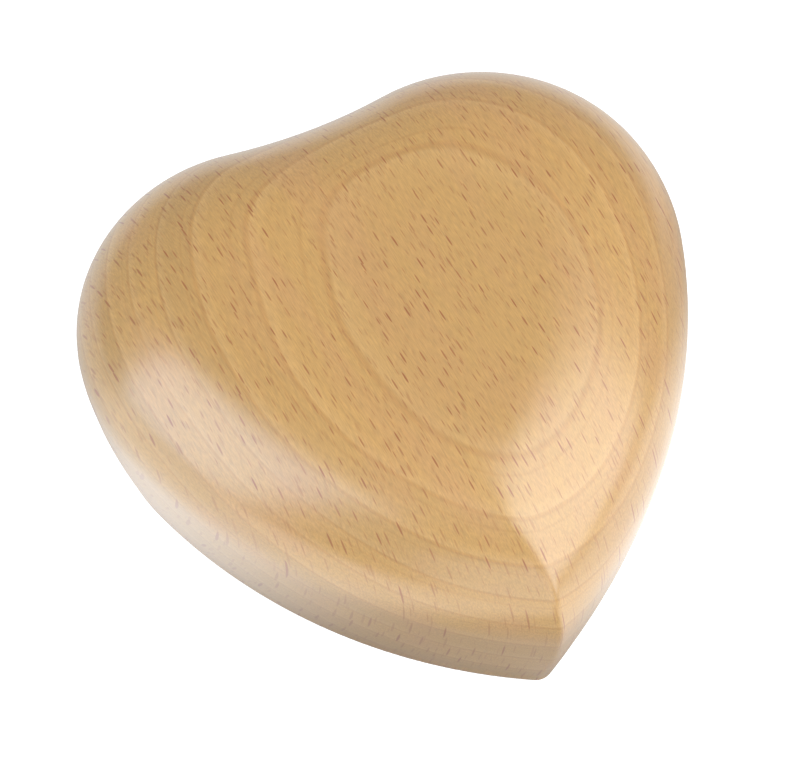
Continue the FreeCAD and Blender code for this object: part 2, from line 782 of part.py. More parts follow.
def click_shape():
    """Pawl with a pointed nose, turned about its post out of the teeth."""
    tip, root = mm("ratchet_radius"), mm("ratchet_radius") - mm("ratchet_depth")
    pitch = 2 * math.pi / int(round(mm("ratchet_teeth")))
    post = click_pivot()
    boss = mm("click_boss")
    lead = mm("click_lead")
    points = [
        Vector(root + mm("click_bite"), -lead, 0),
        polar(tip + mm("click_belly"), -1.15 * pitch),
        post + polar(boss, math.radians(150)),
        post + polar(boss, math.radians(20)),
        polar(tip + mm("click_back"), -1.1 * pitch),
        Vector(tip + mm("click_nose"), -lead, 0),
    ]
    thickness = mm("ratchet_thickness")
    arm = Part.Face(Part.makePolygon(points + points[:1])).extrude(Vector(0, 0, thickness))
    eye = Part.makeCylinder(boss, thickness, post)
    hole = Part.makeCylinder(mm("click_post_radius") + mm("running_clearance"), thickness, post)
    arm.rotate(post, Vector(0, 0, 1), -mm("click_swing"))
    return arm.fuse(eye).cut(hole).removeSplitter()


def click_spring_shape():
    """Bent leaf that lies behind the lifted click, held by a small stud."""
    stud = polar(mm("ratchet_radius") + mm("click_reach"), math.radians(25))
    back = Vector(mm("ratchet_radius") + mm("click_spring_reach"), -mm("click_spring_overlap"), 0)
    thickness = mm("ratchet_thickness")
    along = between(stud, back)
    across = Vector(-along.y, along.x, 0) * (mm("click_spring_thickness") / 2)
    leaf = Part.makePolygon([stud - across, back - across, back + across, stud + across, stud - across])
    strip = Part.Face(leaf).extrude(Vector(0, 0, thickness))
    gap = mm("side_clearance") / 2
    pin = Part.makeCylinder(mm("click_post_radius"), thickness + gap, stud - Vector(0, 0, gap))
    return strip.fuse(pin).removeSplitter()


node(formed(ratchet_shape(), in_movement("0", "0", "ratchet_bottom")), "ratchet_wheel")
node(formed(click_shape(), in_movement("0", "0", "ratchet_bottom")), "click")
node(formed(click_spring_shape(), in_movement("0", "0", "ratchet_bottom")), "click_spring")
post_height = mm("ratchet_thickness") + mm("side_clearance")
post_stem = Part.makeCylinder(mm("click_post_radius"), post_height, click_pivot())
post_head = Part.makeCylinder(mm("click_post_head"), mm("click_head_height"),
                              click_pivot() + Vector(0, 0, post_height))
node(formed(post_stem.fuse(post_head), in_movement("0", "0", "wheel_top")), "click_post")


# Pinned cylinder with its arbor, end caps and drive gear
def pinned_tube():
    """Brass tube with one row of pins for each tooth of the comb."""
    radius, length = mm("cylinder_radius"), mm("cylinder_length")
    tube = Part.makeCylinder(radius, length).cut(Part.makeCylinder(radius - mm("cylinder_wall"), length))
    pins = []
    for row in range(int(round(mm("note_count")))):
        level = mm("cylinder_margin") + (row + 0.5) * mm("note_pitch")
        for hit in range(3 + row % 3):
            angle = 2.4 * row + 2 * math.pi * hit / (3 + row % 3) + 0.35 * math.sin(row * hit)
            foot = polar(radius - mm("cylinder_wall") / 2, angle, level)
            reach = mm("cylinder_wall") / 2 + mm("pin_height")
            pins.append(Part.makeCylinder(mm("pin_radius"), reach, foot, polar(1, angle)))
    return tube.multiFuse(pins)


at_cylinder = in_movement("cylinder_start", "0", "cylinder_level")
node(formed(pinned_tube(), at_cylinder, ALONG_X), "pinned_cylinder")
cap_disc = "cylinder_radius - cylinder_wall"
end_caps = []
for start in ("cylinder_start", "cylinder_start + cylinder_length - cylinder_wall"):
    disc = rod(cap_disc, "cylinder_wall", in_movement(start, "0", "cylinder_level"), ALONG_X)
    hole = rod("cylinder_arbor_radius", "cylinder_wall", in_movement(start, "0", "cylinder_level"), ALONG_X)
    end_caps.append(cut(disc, [hole]))
node(group(end_caps), "cylinder_end_caps")
gear_start = "crown_radius - crown_face * 0.6"
node(rod("cylinder_arbor_radius", f"right_bridge_at + bridge_thickness + 2 * arbor_end - ({gear_start})",
         in_movement(f"{gear_start} - arbor_end", "0", "cylinder_level"), ALONG_X), "cylinder_arbor")
half_tooth = math.pi / int(round(mm("cylinder_teeth")))
cylinder_gear = gear(mm("cylinder_teeth"), mm("main_module"), mm("crown_face") * 1.2,
                     mm("cylinder_arbor_radius"), half_tooth)
node(formed(cylinder_gear, in_movement(gear_start, "0", "cylinder_level"), ALONG_X), "cylinder_gear")


# Bridges that carry the cylinder arbor
def bridge(name, wall_at, foot_at, spot):
    """Upright plate with a bearing hole and a screwed foot."""
    wall = block("bridge_thickness", "bridge_width", "cylinder_level - bed_top + bridge_crest",
                 in_movement(wall_at, "-bridge_width / 2", "bed_top"))
    foot = block("bridge_foot", "bridge_width", "bridge_thickness",
                 in_movement(foot_at, "-bridge_width / 2", "bed_top"))
    bearing = rod("cylinder_arbor_radius + running_clearance", "bridge_thickness",
                  in_movement(wall_at, "0", "cylinder_level"), ALONG_X)
    hole = rod("screw_radius", "bridge_thickness", in_movement(*spot, "bed_top"))
    node(cut(fuse([wall, foot]), [bearing, hole]), name)


def machine_screw(x, y, seat, depth):
    """Slotted cheese-head screw seen from above, its stem reaching down into the bed."""
    head = rod("screw_head_radius", "screw_head_height", in_movement(x, y, seat))
    stem = rod("screw_radius", depth, in_movement(x, y, f"{seat} - ({depth})"))
    slot = block("2 * screw_head_radius", "screw_slot", "screw_slot",
                 in_movement(f"{x} - screw_head_radius", f"{y} - screw_slot / 2",
                             f"{seat} + screw_head_height - screw_slot"))
    return cut(fuse([head, stem]), [slot])


bridge("left_bridge", "left_bridge_at", "left_bridge_at + bridge_thickness", bridge_spots[0])
bridge("right_bridge", "right_bridge_at", "right_bridge_at - bridge_foot", bridge_spots[1])
bridge_screw_depth = "bridge_thickness + bed_thickness - screw_setback"
node(group([machine_screw(x, y, "bed_top + bridge_thickness", bridge_screw_depth) for x, y in bridge_spots]),
     "bridge_screws")

# Comb of tuned steel teeth on its block
comb_spots = [
    ("notes_start + notes_width * 0.25", "-(comb_root + comb_end) / 2"),
    ("notes_start + notes_width * 0.75", "-(comb_root + comb_end) / 2"),
]
comb = new_body(in_movement("notes_start", "0", "comb_bottom"))
comb_sketch = sketch_on(comb, "XY_Plane")
sketch_outline(comb_sketch, rectangle("0", "-comb_end", "notes_width", "comb_end - comb_tip"))
for x, y in comb_spots:
    sketch_circle(comb_sketch, f"{x} - notes_start", y, "screw_radius")
pad(comb, comb_sketch, "comb_thickness")
slot_sketch = sketch_on(comb, "XY_Plane", "comb_thickness")
sketch_outline(slot_sketch, rectangle("note_pitch - comb_slot / 2", "-comb_root", "comb_slot",
                                      "comb_root - comb_tip + cut_overrun"))
first_slot = pocket(comb, slot_sketch, "comb_thickness")
slots = comb.newObject("PartDesign::LinearPattern", "slots")
slots.Originals = [first_slot]
slots.Direction = (slot_sketch, ["H_Axis"])
slots.setExpression("Length", bound("note_pitch * (note_count - 2)"))
slots.setExpression("Occurrences", bound("note_count - 1"))
comb.Tip = slots
node(comb, "comb")

comb_block = new_body(in_movement("notes_start", "0", "bed_top"))
block_sketch = sketch_on(comb_block, "XY_Plane")
sketch_outline(block_sketch, rectangle("0", "-comb_end", "notes_width", "comb_base_length"))
for x, y in comb_spots:
    sketch_circle(block_sketch, f"{x} - notes_start", y, "screw_radius")
pad(comb_block, block_sketch, "comb_bottom - bed_top")
node(comb_block, "comb_block")
comb_screw_depth = "comb_thickness + comb_screw_grip"
node(group([machine_screw(x, y, "comb_bottom + comb_thickness", comb_screw_depth) for x, y in comb_spots]),
     "comb_screws")

# Governor frame: three uprights on one foot and an arm over the fan
frame_left = "-(fan_radius + frame_lug)"
frame_right = "second_x + frame_flank"
upright_left = "-frame_heel"
foot_plate = block(f"{frame_right} - ({frame_left})", "rear_frame + frame_thickness - front_frame",
                   "frame_thickness", in_movement(frame_left, "front_frame", "bed_top"))
upright_width = f"{frame_right} - ({upright_left})"
rear_upright = block(upright_width, "frame_thickness", "first_level + frame_crest - bed_top",
                     in_movement(upright_left, "rear_frame", "bed_top"))
middle_upright = block(upright_width, "frame_thickness", "first_level + frame_crest - bed_top",
                       in_movement(upright_left, "middle_frame", "bed_top"))
front_upright = block("post_width", "frame_thickness", "second_level + frame_crest - bed_top",
                      in_movement("second_x + frame_flank - post_width", "front_frame", "bed_top"))
tall_post = block("post_width", "frame_thickness", "arm_bottom + frame_thickness - bed_top",
                  in_movement("worm_x - post_width / 2", "middle_frame", "bed_top"))
arm = block("post_width", "middle_frame + frame_thickness - worm_y + arm_nose", "frame_thickness",
            in_movement("worm_x - post_width / 2", "worm_y - arm_nose", "arm_bottom"))
bearing_hole = "pivot_radius + running_clearance"
first_holes = rod(bearing_hole, "rear_frame + frame_thickness - middle_frame",
                  in_movement("0", "middle_frame", "first_level"), ALONG_Y)
second_holes = rod(bearing_hole, "rear_frame + frame_thickness - front_frame",
                   in_movement("second_x", "front_frame", "second_level"), ALONG_Y)
worm_holes = rod(bearing_hole, "arm_bottom + frame_thickness - bed_top",
                 in_movement("worm_x", "worm_y", "bed_top"))
stem_holes = [rod("screw_radius", "frame_thickness", in_movement(x, y, "bed_top")) for x, y in governor_spots]
governor_frame = fuse([foot_plate, rear_upright, middle_upright, front_upright, tall_post, arm])
node(cut(governor_frame, [first_holes, second_holes, worm_holes] + stem_holes), "governor_frame")
governor_grip = "frame_thickness + bed_thickness - screw_setback"
node(group([machine_screw(x, y, "bed_top + frame_thickness", governor_grip)
            for x, y in governor_spots]), "governor_screws")

# First governor arbor: a pinion in the crown teeth and a larger wheel
first_rear = "-(crown_radius - crown_face * 0.6)"
node(rod("pivot_radius", f"{first_rear} + arbor_end - middle_frame + pivot_end",
         in_movement("0", "middle_frame - pivot_end", "first_level"), ALONG_Y), "first_governor_arbor")
first_pinion = gear(mm("first_pinion_teeth"), mm("main_module"), mm("crown_face") * 1.2, mm("pivot_radius"),
                    math.pi / 2 + math.pi / int(round(mm("first_pinion_teeth"))))
node(formed(first_pinion, in_movement("0", f"{first_rear} - crown_face * 1.2", "first_level"), ALONG_Y),
     "first_governor_pinion")
lean = math.radians(mm("second_lean"))
first_wheel = gear(mm("first_wheel_teeth"), mm("fine_module"), mm("frame_thickness"), mm("pivot_radius"),
                   lean)
node(formed(first_wheel, in_movement("0", "wheel_lane", "first_level"), ALONG_Y), "first_governor_wheel")

# Second governor arbor: a pinion and the slanted worm wheel
node(rod("pivot_radius", "rear_frame + frame_thickness - front_frame + 2 * pivot_end",
         in_movement("second_x", "front_frame - pivot_end", "second_level"), ALONG_Y),
     "second_governor_arbor")
facing = lean + math.pi + math.pi / int(round(mm("second_pinion_teeth")))
second_pinion = gear(mm("second_pinion_teeth"), mm("fine_module"), mm("frame_thickness"), mm("pivot_radius"),
                     facing)
node(formed(second_pinion, in_movement("second_x", "wheel_lane", "second_level"), ALONG_Y),
     "second_governor_pinion")


def worm_wheel_shape():
    """Gear whose teeth lean by the lead of the worm."""
    face = mm("worm_wheel_face")
    lead = mm("worm_pitch") / (2 * math.pi * mm("worm_radius"))
    twist = face * lead / mm("worm_wheel_radius")
    teeth, module = mm("worm_wheel_teeth"), mm("main_module")
    wires = [gear_wire(teeth, module, math.pi - twist / 2 * side, face * (side + 1) / 2) for side in (-1, 1)]
    body = Part.makeLoft(wires, True, True)
    return body.cut(Part.makeCylinder(mm("pivot_radius"), face))


at_worm_wheel = in_movement("second_x", "worm_y - worm_wheel_face / 2", "second_level")
node(formed(worm_wheel_shape(), at_worm_wheel, ALONG_Y), "worm_wheel")


# Worm and fan: the last and fastest arbor
def worm_shape():
    """Single thread, made by twisting its cross section along the arbor."""
    module, radius, pitch = mm("main_module"), mm("worm_radius"), mm("worm_pitch")
    tip, root = radius + 0.9 * module, radius - 1.2 * module
    length = mm("worm_turns") * pitch
    begin = math.pi - 2 * math.pi * (mm("second_level") - mm("worm_bottom")) / pitch

    def half_angle(at):
        half = pitch / 4 - BACKLASH * module - (at - radius) * math.tan(PRESSURE)
        return 2 * math.pi * half / pitch

    def on_flank(at, side):
        return polar(at, begin + side * half_angle(at))

    middle = (tip + root) / 2
    rise = Part.Arc(on_flank(root, -1), on_flank(middle, -1), on_flank(tip, -1)).toShape()
    crest = Part.Arc(on_flank(tip, -1), polar(tip, begin), on_flank(tip, 1)).toShape()
    fall = Part.Arc(on_flank(tip, 1), on_flank(middle, 1), on_flank(root, 1)).toShape()
    valley = Part.Arc(on_flank(root, 1), polar(root, begin + math.pi), on_flank(root, -1)).toShape()
    section = Part.Wire([rise, crest, fall, valley])
    spine = Part.Wire(Part.makeLine(Vector(), Vector(0, 0, length)))
    shell = Part.BRepOffsetAPI.MakePipeShell(spine)
    shell.setAuxiliarySpine(Part.Wire(Part.makeHelix(pitch, length, radius)), True, 0)
    shell.add(section)
    shell.build()
    shell.makeSolid()
    return shell.shape()


worm_thread = formed(worm_shape(), in_movement("worm_x", "worm_y", "worm_bottom"))
worm_stem = rod("pivot_radius", "arm_bottom + frame_thickness - bed_top - pivot_end",
                in_movement("worm_x", "worm_y", "bed_top + pivot_end"))
node(fuse([worm_thread, worm_stem]), "worm")
fan_wing = block("2 * fan_radius", "fan_thickness", "fan_height",
                 in_movement("worm_x - fan_radius", "worm_y - fan_thickness / 2", "fan_bottom"))
fan_hub = rod("fan_hub_radius", "fan_height", in_movement("worm_x", "worm_y", "fan_bottom"))
fan_bore = rod("pivot_radius", "fan_height", in_movement("worm_x", "worm_y", "fan_bottom"))
node(cut(fuse([fan_wing, fan_hub]), [fan_bore]), "fan")

# Check every object, then write one file for each node
doc.recompute()
for item in doc.Objects:
    if any(flag in ("Invalid", "Error") for flag in item.State):
        raise RuntimeError(f"{item.Name} ({item.Label}) did not recompute: {item.State}")
os.makedirs("parts", exist_ok=True)
for piece in nodes:
    shape = piece.Shape
    if shape.isNull() or not shape.isValid() or not shape.Solids:
        raise RuntimeError(f"{piece.Label} has no valid solid")
    shape.exportStep(f"parts/{piece.Label}.step")
    box = shape.BoundBox
    print(f"{piece.Label}: {len(shape.Solids)} solid(s), {shape.Volume:.1f} mm3,"
          f" x {box.XMin:.2f}..{box.XMax:.2f} y {box.YMin:.2f}..{box.YMax:.2f}"
          f" z {box.ZMin:.2f}..{box.ZMax:.2f}")
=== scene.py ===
import math

import bmesh
import bpy
from mathutils import Euler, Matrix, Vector

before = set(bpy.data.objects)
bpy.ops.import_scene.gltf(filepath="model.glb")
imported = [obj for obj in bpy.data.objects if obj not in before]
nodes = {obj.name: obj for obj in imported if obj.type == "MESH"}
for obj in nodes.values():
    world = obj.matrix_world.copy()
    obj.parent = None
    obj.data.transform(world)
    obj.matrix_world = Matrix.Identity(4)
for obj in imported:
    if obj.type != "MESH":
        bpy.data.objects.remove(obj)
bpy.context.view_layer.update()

# The case is one block of flat-sawn beech, shaped to a smooth heart, sanded and given a satin clear lacquer.
# The year rings lie nearly flat, so the dome cuts them into closed loops and the wall into level bands.
# The grain runs from the cleft to the tip, and the cut rays show as short brown spindles along it.
# Object coordinates are in metres, and the patterns are sized in millimetres.
MM = 1000.0
BEECH_CREAM = "#ba904e"
BEECH_BODY = "#b48943"
BEECH_WARM = "#af823c"
BEECH_LATE = "#ae7f3b"
BEECH_ROSE = "#b4844c"
BEECH_RAY = "#914f06"
BEECH_ROUGHNESS = 0.36
BEECH_IOR = 1.5
# The lacquer's IOR is above the 1.5 of a real one, because the block shows a stronger sheen than that gives.
LACQUER_IOR = 2.0
LACQUER_ROUGHNESS = 0.26
GRAIN_TURN = math.radians(-5)

# Sizes of the grain are in millimetres: across it, along it and up.
# The rings are shallow bowls, and ACROSS and ALONG are twice a bowl's radii of curvature.
RING_SPACING = 6.46
RING_CENTRE = (9.4, -0.2)
RING_ACROSS = 104.0
RING_ALONG = 229.0
RING_WANDER = 0.5
RING_WANDER_SPAN = 22.0
# Phase, unevenness and colour stops are parts of one year, and the tone is a share of brightness.
RING_PHASE = 0.595
RING_UNEVEN = 0.08
RING_UNEVEN_SPAN = 6.25
RING_TONE = 0.05
RING_STOPS = [
    (0.03, BEECH_WARM),
    (0.08, BEECH_CREAM),
    (0.35, BEECH_BODY),
    (0.72, BEECH_BODY),
    (0.76, BEECH_WARM),
    (0.8, BEECH_BODY),
    (0.94, BEECH_BODY),
    (0.97, BEECH_WARM),
]
STREAK = (7.0, 30.0, 7.0)
STREAK_RANGE = (0.45, 0.75)
STREAK_SHARE = 0.6
# Real fibres are finer than the render can show, so they are drawn about three times as coarse.
FIBRE = (0.2, 2.4, 0.4)
FIBRE_RANGE = (0.3, 0.7)
FIBRE_TONE = 0.16
FIBRE_BUMP = 0.02
FIBRE_DEPTH = 0.0002
RAY_CELL = (1.6, 3.6, 9.0)
RAY_HALF = (0.18, 1.5, 4.3)
THIN_RAY_CELL = (1.3, 2.8, 7.0)
THIN_RAY_HALF = (0.14, 1.1, 3.2)
THIN_RAY_SHARE = 0.55
RAY_CORE = 0.55
PALEST_RAY = 0.25

# A colour Mix node's sockets: factor, first colour, second colour and result.
FACTOR = 0
FIRST = 6
SECOND = 7
MIXED = 2


def linear(colour):
    """Linear RGBA of an sRGB hex colour."""
    parts = [int(colour[k:k + 2], 16) / 255 for k in (1, 3, 5)]
    return [p / 12.92 if p <= 0.04045 else ((p + 0.055) / 1.055) ** 2.4 for p in parts] + [1.0]


def add(tree, kind, values=(), links=(), **settings):
    """Add one shader node, set its properties and socket values, and link its inputs."""
    made = tree.nodes.new(kind)
    for name, value in settings.items():
        setattr(made, name, value)
    for socket, value in dict(values).items():
        made.inputs[socket].default_value = value
    for socket, source in dict(links).items():
        tree.links.new(source, made.inputs[socket])
    return made


def new_material(name):
    """A material with an empty node tree, and that tree."""
    material = bpy.data.materials.new(name)
    material.use_nodes = True
    material.node_tree.nodes.clear()
    return material, material.node_tree


def dress(names, material):
    """Give CAD nodes a finished material."""
    for name in names:
        mesh = nodes[name].data
        mesh.materials.clear()
        mesh.materials.append(material)


def year_count(tree, place):
    """Years counted up through the block: bowl-shaped rings that wander a little and differ in width."""
    parts = add(tree, "ShaderNodeSeparateXYZ", {}, {0: place})
    across = add(tree, "ShaderNodeMath", {1: 2.0}, {0: parts.outputs["X"]}, operation="POWER")
    along = add(tree, "ShaderNodeMath", {1: 2.0}, {0: parts.outputs["Y"]}, operation="POWER")
    level = add(tree, "ShaderNodeMath", {1: -1 / RING_ACROSS},
                {0: across.outputs[0], 2: parts.outputs["Z"]}, operation="MULTIPLY_ADD")
    level = add(tree, "ShaderNodeMath", {1: -1 / RING_ALONG},
                {0: along.outputs[0], 2: level.outputs[0]}, operation="MULTIPLY_ADD")
    wander = add(tree, "ShaderNodeTexNoise", {"Scale": 1 / RING_WANDER_SPAN, "Detail": 0.0},
                 {"Vector": place})
    drift = add(tree, "ShaderNodeMapRange", {"To Min": -RING_WANDER, "To Max": RING_WANDER},
                {"Value": wander.outputs["Fac"]})
    level = add(tree, "ShaderNodeMath", {}, {0: level.outputs[0], 1: drift.outputs[0]}, operation="ADD")
    uneven = add(tree, "ShaderNodeTexNoise", {"Scale": 1 / RING_UNEVEN_SPAN, "Detail": 1.0},
                 {"W": level.outputs[0]}, noise_dimensions="1D")
    offset = add(tree, "ShaderNodeMapRange",
                 {"To Min": RING_PHASE - RING_UNEVEN, "To Max": RING_PHASE + RING_UNEVEN},
                 {"Value": uneven.outputs["Fac"]})
    years = add(tree, "ShaderNodeMath", {1: 1 / RING_SPACING},
                {0: level.outputs[0], 2: offset.outputs[0]}, operation="MULTIPLY_ADD")
    return years.outputs[0]


def spindles(tree, place, cell, half):
    """Strength of short spindles, one in each cell and each of its own tint, sizes in millimetres."""
    shrunk = add(tree, "ShaderNodeVectorMath", {1: [1 / c for c in cell]}, {0: place}, operation="MULTIPLY")
    cells = add(tree, "ShaderNodeTexVoronoi", {"Scale": 1.0}, {"Vector": shrunk.outputs[0]})
    away = add(tree, "ShaderNodeVectorMath", {},
               {0: shrunk.outputs[0], 1: cells.outputs["Position"]}, operation="SUBTRACT")
    shape = add(tree, "ShaderNodeVectorMath", {1: [c / h for c, h in zip(cell, half)]},
                {0: away.outputs[0]}, operation="MULTIPLY")
    reach = add(tree, "ShaderNodeVectorMath", {}, {0: shape.outputs[0]}, operation="LENGTH")
    mask = add(tree, "ShaderNodeMapRange",
               {"From Min": RAY_CORE, "From Max": 1.0, "To Min": 1.0, "To Max": 0.0},
               {"Value": reach.outputs["Value"]}, interpolation_type="SMOOTHSTEP")
    chance = add(tree, "ShaderNodeSeparateColor", {}, {"Color": cells.outputs["Color"]})
    tint = add(tree, "ShaderNodeMapRange", {"To Min": PALEST_RAY, "To Max": 1.0},
               {"Value": chance.outputs["Red"]})
    ray = add(tree, "ShaderNodeMath", {}, {0: mask.outputs[0], 1: tint.outputs[0]}, operation="MULTIPLY")
    return ray.outputs[0]


def lacquered_beech():
    """Flat-sawn beech under satin lacquer: level rings, brown rays, fine fibres, a soft clear gloss."""
    material, tree = new_material("lacquered_beech")
    coords = add(tree, "ShaderNodeTexCoord")
    place = add(tree, "ShaderNodeMapping",
                {"Scale": [MM] * 3, "Rotation": [0, 0, GRAIN_TURN],
                 "Location": [-RING_CENTRE[0], -RING_CENTRE[1], 0]},
                {"Vector": coords.outputs["Object"]}).outputs[0]

    years = year_count(tree, place)
    year = add(tree, "ShaderNodeMath", {}, {0: years}, operation="FRACT")
    ring = add(tree, "ShaderNodeValToRGB", {}, {"Fac": year.outputs[0]})
    stops = ring.color_ramp.elements
    for end, position in enumerate((0.0, 1.0)):
        stops[end].position = position
        stops[end].color = linear(BEECH_LATE)
    for position, colour in RING_STOPS:
        stop = stops.new(position)
        stop.color = linear(colour)

    bands = add(tree, "ShaderNodeVectorMath", {1: [1 / s for s in STREAK]}, {0: place}, operation="MULTIPLY")
    streak = add(tree, "ShaderNodeTexNoise", {"Scale": 1.0, "Detail": 2.0}, {"Vector": bands.outputs[0]})
    blush = add(tree, "ShaderNodeMapRange",
                {"From Min": STREAK_RANGE[0], "From Max": STREAK_RANGE[1], "To Max": STREAK_SHARE},
                {"Value": streak.outputs["Fac"]})
    clouded = add(tree, "ShaderNodeMix", {SECOND: linear(BEECH_ROSE)},
                  {FACTOR: blush.outputs[0], FIRST: ring.outputs[0]}, data_type="RGBA")

    threads = add(tree, "ShaderNodeVectorMath", {1: [1 / f for f in FIBRE]}, {0: place}, operation="MULTIPLY")
    fibre = add(tree, "ShaderNodeTexNoise", {"Scale": 1.0, "Detail": 3.0, "Roughness": 0.6},
                {"Vector": threads.outputs[0]})
    shade = add(tree, "ShaderNodeMapRange",
                {"From Min": FIBRE_RANGE[0], "From Max": FIBRE_RANGE[1],
                 "To Min": 1 - FIBRE_TONE, "To Max": 1 + FIBRE_TONE},
                {"Value": fibre.outputs["Fac"]})
    count = add(tree, "ShaderNodeMath", {}, {0: years}, operation="FLOOR")
    chance = add(tree, "ShaderNodeTexWhiteNoise", {}, {"W": count.outputs[0]}, noise_dimensions="1D")
    season = add(tree, "ShaderNodeMapRange", {"To Min": 1 - RING_TONE, "To Max": 1 + RING_TONE},
                 {"Value": chance.outputs["Value"]})
    shade = add(tree, "ShaderNodeMath", {}, {0: shade.outputs[0], 1: season.outputs[0]}, operation="MULTIPLY")
    toned = add(tree, "ShaderNodeVectorMath", {},
                {0: clouded.outputs[MIXED], "Scale": shade.outputs[0]}, operation="SCALE")

    thin = spindles(tree, place, THIN_RAY_CELL, THIN_RAY_HALF)
    bold = spindles(tree, place, RAY_CELL, RAY_HALF)
    faint = add(tree, "ShaderNodeMath", {1: THIN_RAY_SHARE}, {0: thin}, operation="MULTIPLY")
    rays = add(tree, "ShaderNodeMath", {}, {0: faint.outputs[0], 1: bold}, operation="MAXIMUM")
    colour = add(tree, "ShaderNodeMix", {SECOND: linear(BEECH_RAY)},
                 {FACTOR: rays.outputs[0], FIRST: toned.outputs[0]}, data_type="RGBA")

    bump = add(tree, "ShaderNodeBump", {"Strength": FIBRE_BUMP, "Distance": FIBRE_DEPTH},
               {"Height": fibre.outputs["Fac"]})
    surface = add(tree, "ShaderNodeBsdfPrincipled",
                  {"Roughness": BEECH_ROUGHNESS, "IOR": BEECH_IOR, "Coat Weight": 1.0,
                   "Coat IOR": LACQUER_IOR, "Coat Roughness": LACQUER_ROUGHNESS},
                  {"Base Color": colour.outputs[MIXED], "Normal": bump.outputs[0],
                   "Coat Normal": bump.outputs[0]})
    add(tree, "ShaderNodeOutputMaterial", {}, {"Surface": surface.outputs[0]})
    return material


dress(["heart_case"], lacquered_beech())

# The bedplate, comb block and cylinder bridges are zinc die castings, which carry the whole movement.
# They are left as cast, so their skin is grey, dull and finely grained.
# As on the other metals, the marks are drawn coarser than real ones, so that they show.
CAST_LIGHT = "#a9abae"
CAST_DARK = "#8b8e92"
CAST_ROUGHNESS = 0.5
CAST_GRAIN = (0.35, 0.35, 0.35)
GLOSS_SPREAD = 0.08
MARK_BUMP = 0.08
MARK_DEPTH = 0.00005


def worked_skin(name, light, dark, roughness, grain, metallic=1.0):
    """Plain skin with fine working marks, of a size in millimetres, that vary its tone and gloss."""
    material, tree = new_material(name)
    coords = add(tree, "ShaderNodeTexCoord")
    place = add(tree, "ShaderNodeMapping", {"Scale": [MM / g for g in grain]},
                {"Vector": coords.outputs["Object"]})
    marks = add(tree, "ShaderNodeTexNoise", {"Scale": 1.0, "Detail": 3.0}, {"Vector": place.outputs[0]})
    tone = add(tree, "ShaderNodeMix", {FIRST: linear(dark), SECOND: linear(light)},
               {FACTOR: marks.outputs["Fac"]}, data_type="RGBA")
    gloss = add(tree, "ShaderNodeMapRange",
                {"To Min": roughness - GLOSS_SPREAD, "To Max": roughness + GLOSS_SPREAD},
                {"Value": marks.outputs["Fac"]})
    bump = add(tree, "ShaderNodeBump", {"Strength": MARK_BUMP, "Distance": MARK_DEPTH},
               {"Height": marks.outputs["Fac"]})
    surface = add(tree, "ShaderNodeBsdfPrincipled", {"Metallic": metallic},
                  {"Base Color": tone.outputs[MIXED], "Roughness": gloss.outputs[0],
                   "Normal": bump.outputs[0]})
    add(tree, "ShaderNodeOutputMaterial", {}, {"Surface": surface.outputs[0]})
    return material


dress(["bedplate", "comb_block", "left_bridge", "right_bridge"],
      worked_skin("die_cast_zinc", CAST_LIGHT, CAST_DARK, CAST_ROUGHNESS, CAST_GRAIN))

# The spring housing, its cap and the governor frame are pressed from steel sheet and fixed to the bedplate.
# They are nickel plated, which gives a bright, slightly yellow white.
NICKEL_LIGHT = "#d6d2c8"
NICKEL_DARK = "#b9b4a8"
NICKEL_ROUGHNESS = 0.26
NICKEL_MARKS = (0.4, 0.4, 3.0)
dress(["spring_housing", "spring_cap", "governor_frame"],
      worked_skin("nickel_plated_steel", NICKEL_LIGHT, NICKEL_DARK, NICKEL_ROUGHNESS, NICKEL_MARKS))

# The mainspring, comb, ratchet wheel, click, click spring and arbor clip are hardened and tempered steel.
# They are ground or stamped and left unplated, so they are grey-blue, with straight fine scratches.
TEMPERED_LIGHT = "#8f959b"
TEMPERED_DARK = "#6a7078"
TEMPERED_ROUGHNESS = 0.32
TEMPERED_MARKS = (0.25, 4.0, 0.4)
dress(["mainspring", "comb", "ratchet_wheel", "click", "click_spring", "arbor_clip"],
      worked_skin("tempered_spring_steel", TEMPERED_LIGHT, TEMPERED_DARK, TEMPERED_ROUGHNESS, TEMPERED_MARKS))

# The pinned cylinder, its end caps, the great wheel and the small wheels and pinions are brass.
# They sit on steel arbors, and are turned and cut, which leaves fine marks and a warm satin.
BRASS_LIGHT = "#dcb765"
BRASS_DARK = "#bd9343"
BRASS_ROUGHNESS = 0.33
BRASS_MARKS = (0.3, 2.0, 2.0)
dress(["pinned_cylinder", "cylinder_end_caps", "cylinder_gear", "great_wheel", "first_governor_pinion",
       "first_governor_wheel", "second_governor_pinion"],
      worked_skin("turned_brass", BRASS_LIGHT, BRASS_DARK, BRASS_ROUGHNESS, BRASS_MARKS))

# The worm wheel and the fan are moulded in nylon, which runs quietly, and pressed on to their shafts.
# Nylon is off-white, smooth and slightly waxy.
NYLON_LIGHT = "#e6e3d8"
NYLON_DARK = "#d9d5c8"
NYLON_ROUGHNESS = 0.48
NYLON_MARKS = (0.8, 0.8, 0.8)
dress(["worm_wheel", "fan"],
      worked_skin("moulded_nylon", NYLON_LIGHT, NYLON_DARK, NYLON_ROUGHNESS, NYLON_MARKS, metallic=0.0))

